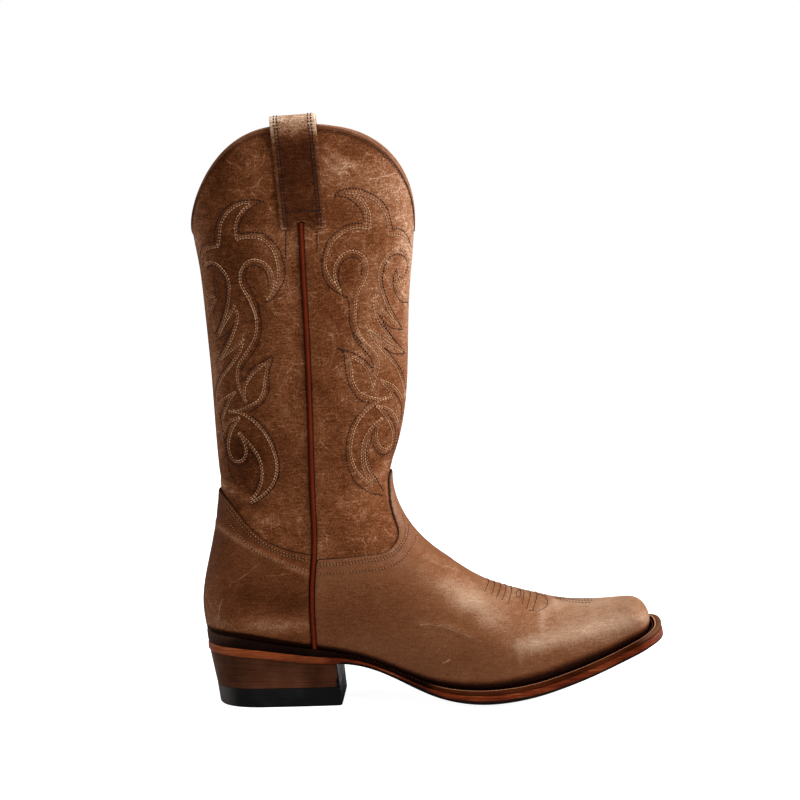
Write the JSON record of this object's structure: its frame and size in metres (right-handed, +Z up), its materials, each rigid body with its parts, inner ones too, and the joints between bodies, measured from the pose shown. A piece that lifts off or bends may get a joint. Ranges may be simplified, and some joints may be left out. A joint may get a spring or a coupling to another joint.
{
  "type": "western boot",
  "caption": "Right western boot in brown leather with a scalloped shaft, stitched panels, side piping, pull straps, square toe and stacked heel.",
  "frame": {"origin": "on the floor, under the middle of the boot's box", "axes": "+X towards the toe, -Y towards the outer side of the foot, +Z up the shaft"},
  "size_m": [0.2934, 0.0992, 0.3754],
  "materials": {
    "shaft_leather": "distressed brown, waxed",
    "vamp_leather": "lighter tan, burnished at the welt",
    "counter_leather": "dark brown, waxed",
    "strap_leather": "dark brown, waxed",
    "piping": "reddish brown",
    "insole": "natural, matt",
    "welt": "dark edge",
    "rand": "dark edge",
    "sole_leather": "polished edge",
    "heel_leather": "polished stacked layers",
    "rubber": "matt black"
  },
  "bodies": {
    "root": {"upper": "shaft_leather", "vamp": "vamp_leather", "counter": "counter_leather", "piping_outer": "piping", "piping_inner": "piping", "pull_strap_outer": "strap_leather", "pull_strap_inner": "strap_leather", "collar_binding": "shaft_leather", "insole": "insole", "welt": "welt", "heel_rand": "rand", "outsole": "sole_leather", "heel_stack": "heel_leather", "heel_cap": "rubber"}
  },
  "joints": []
}
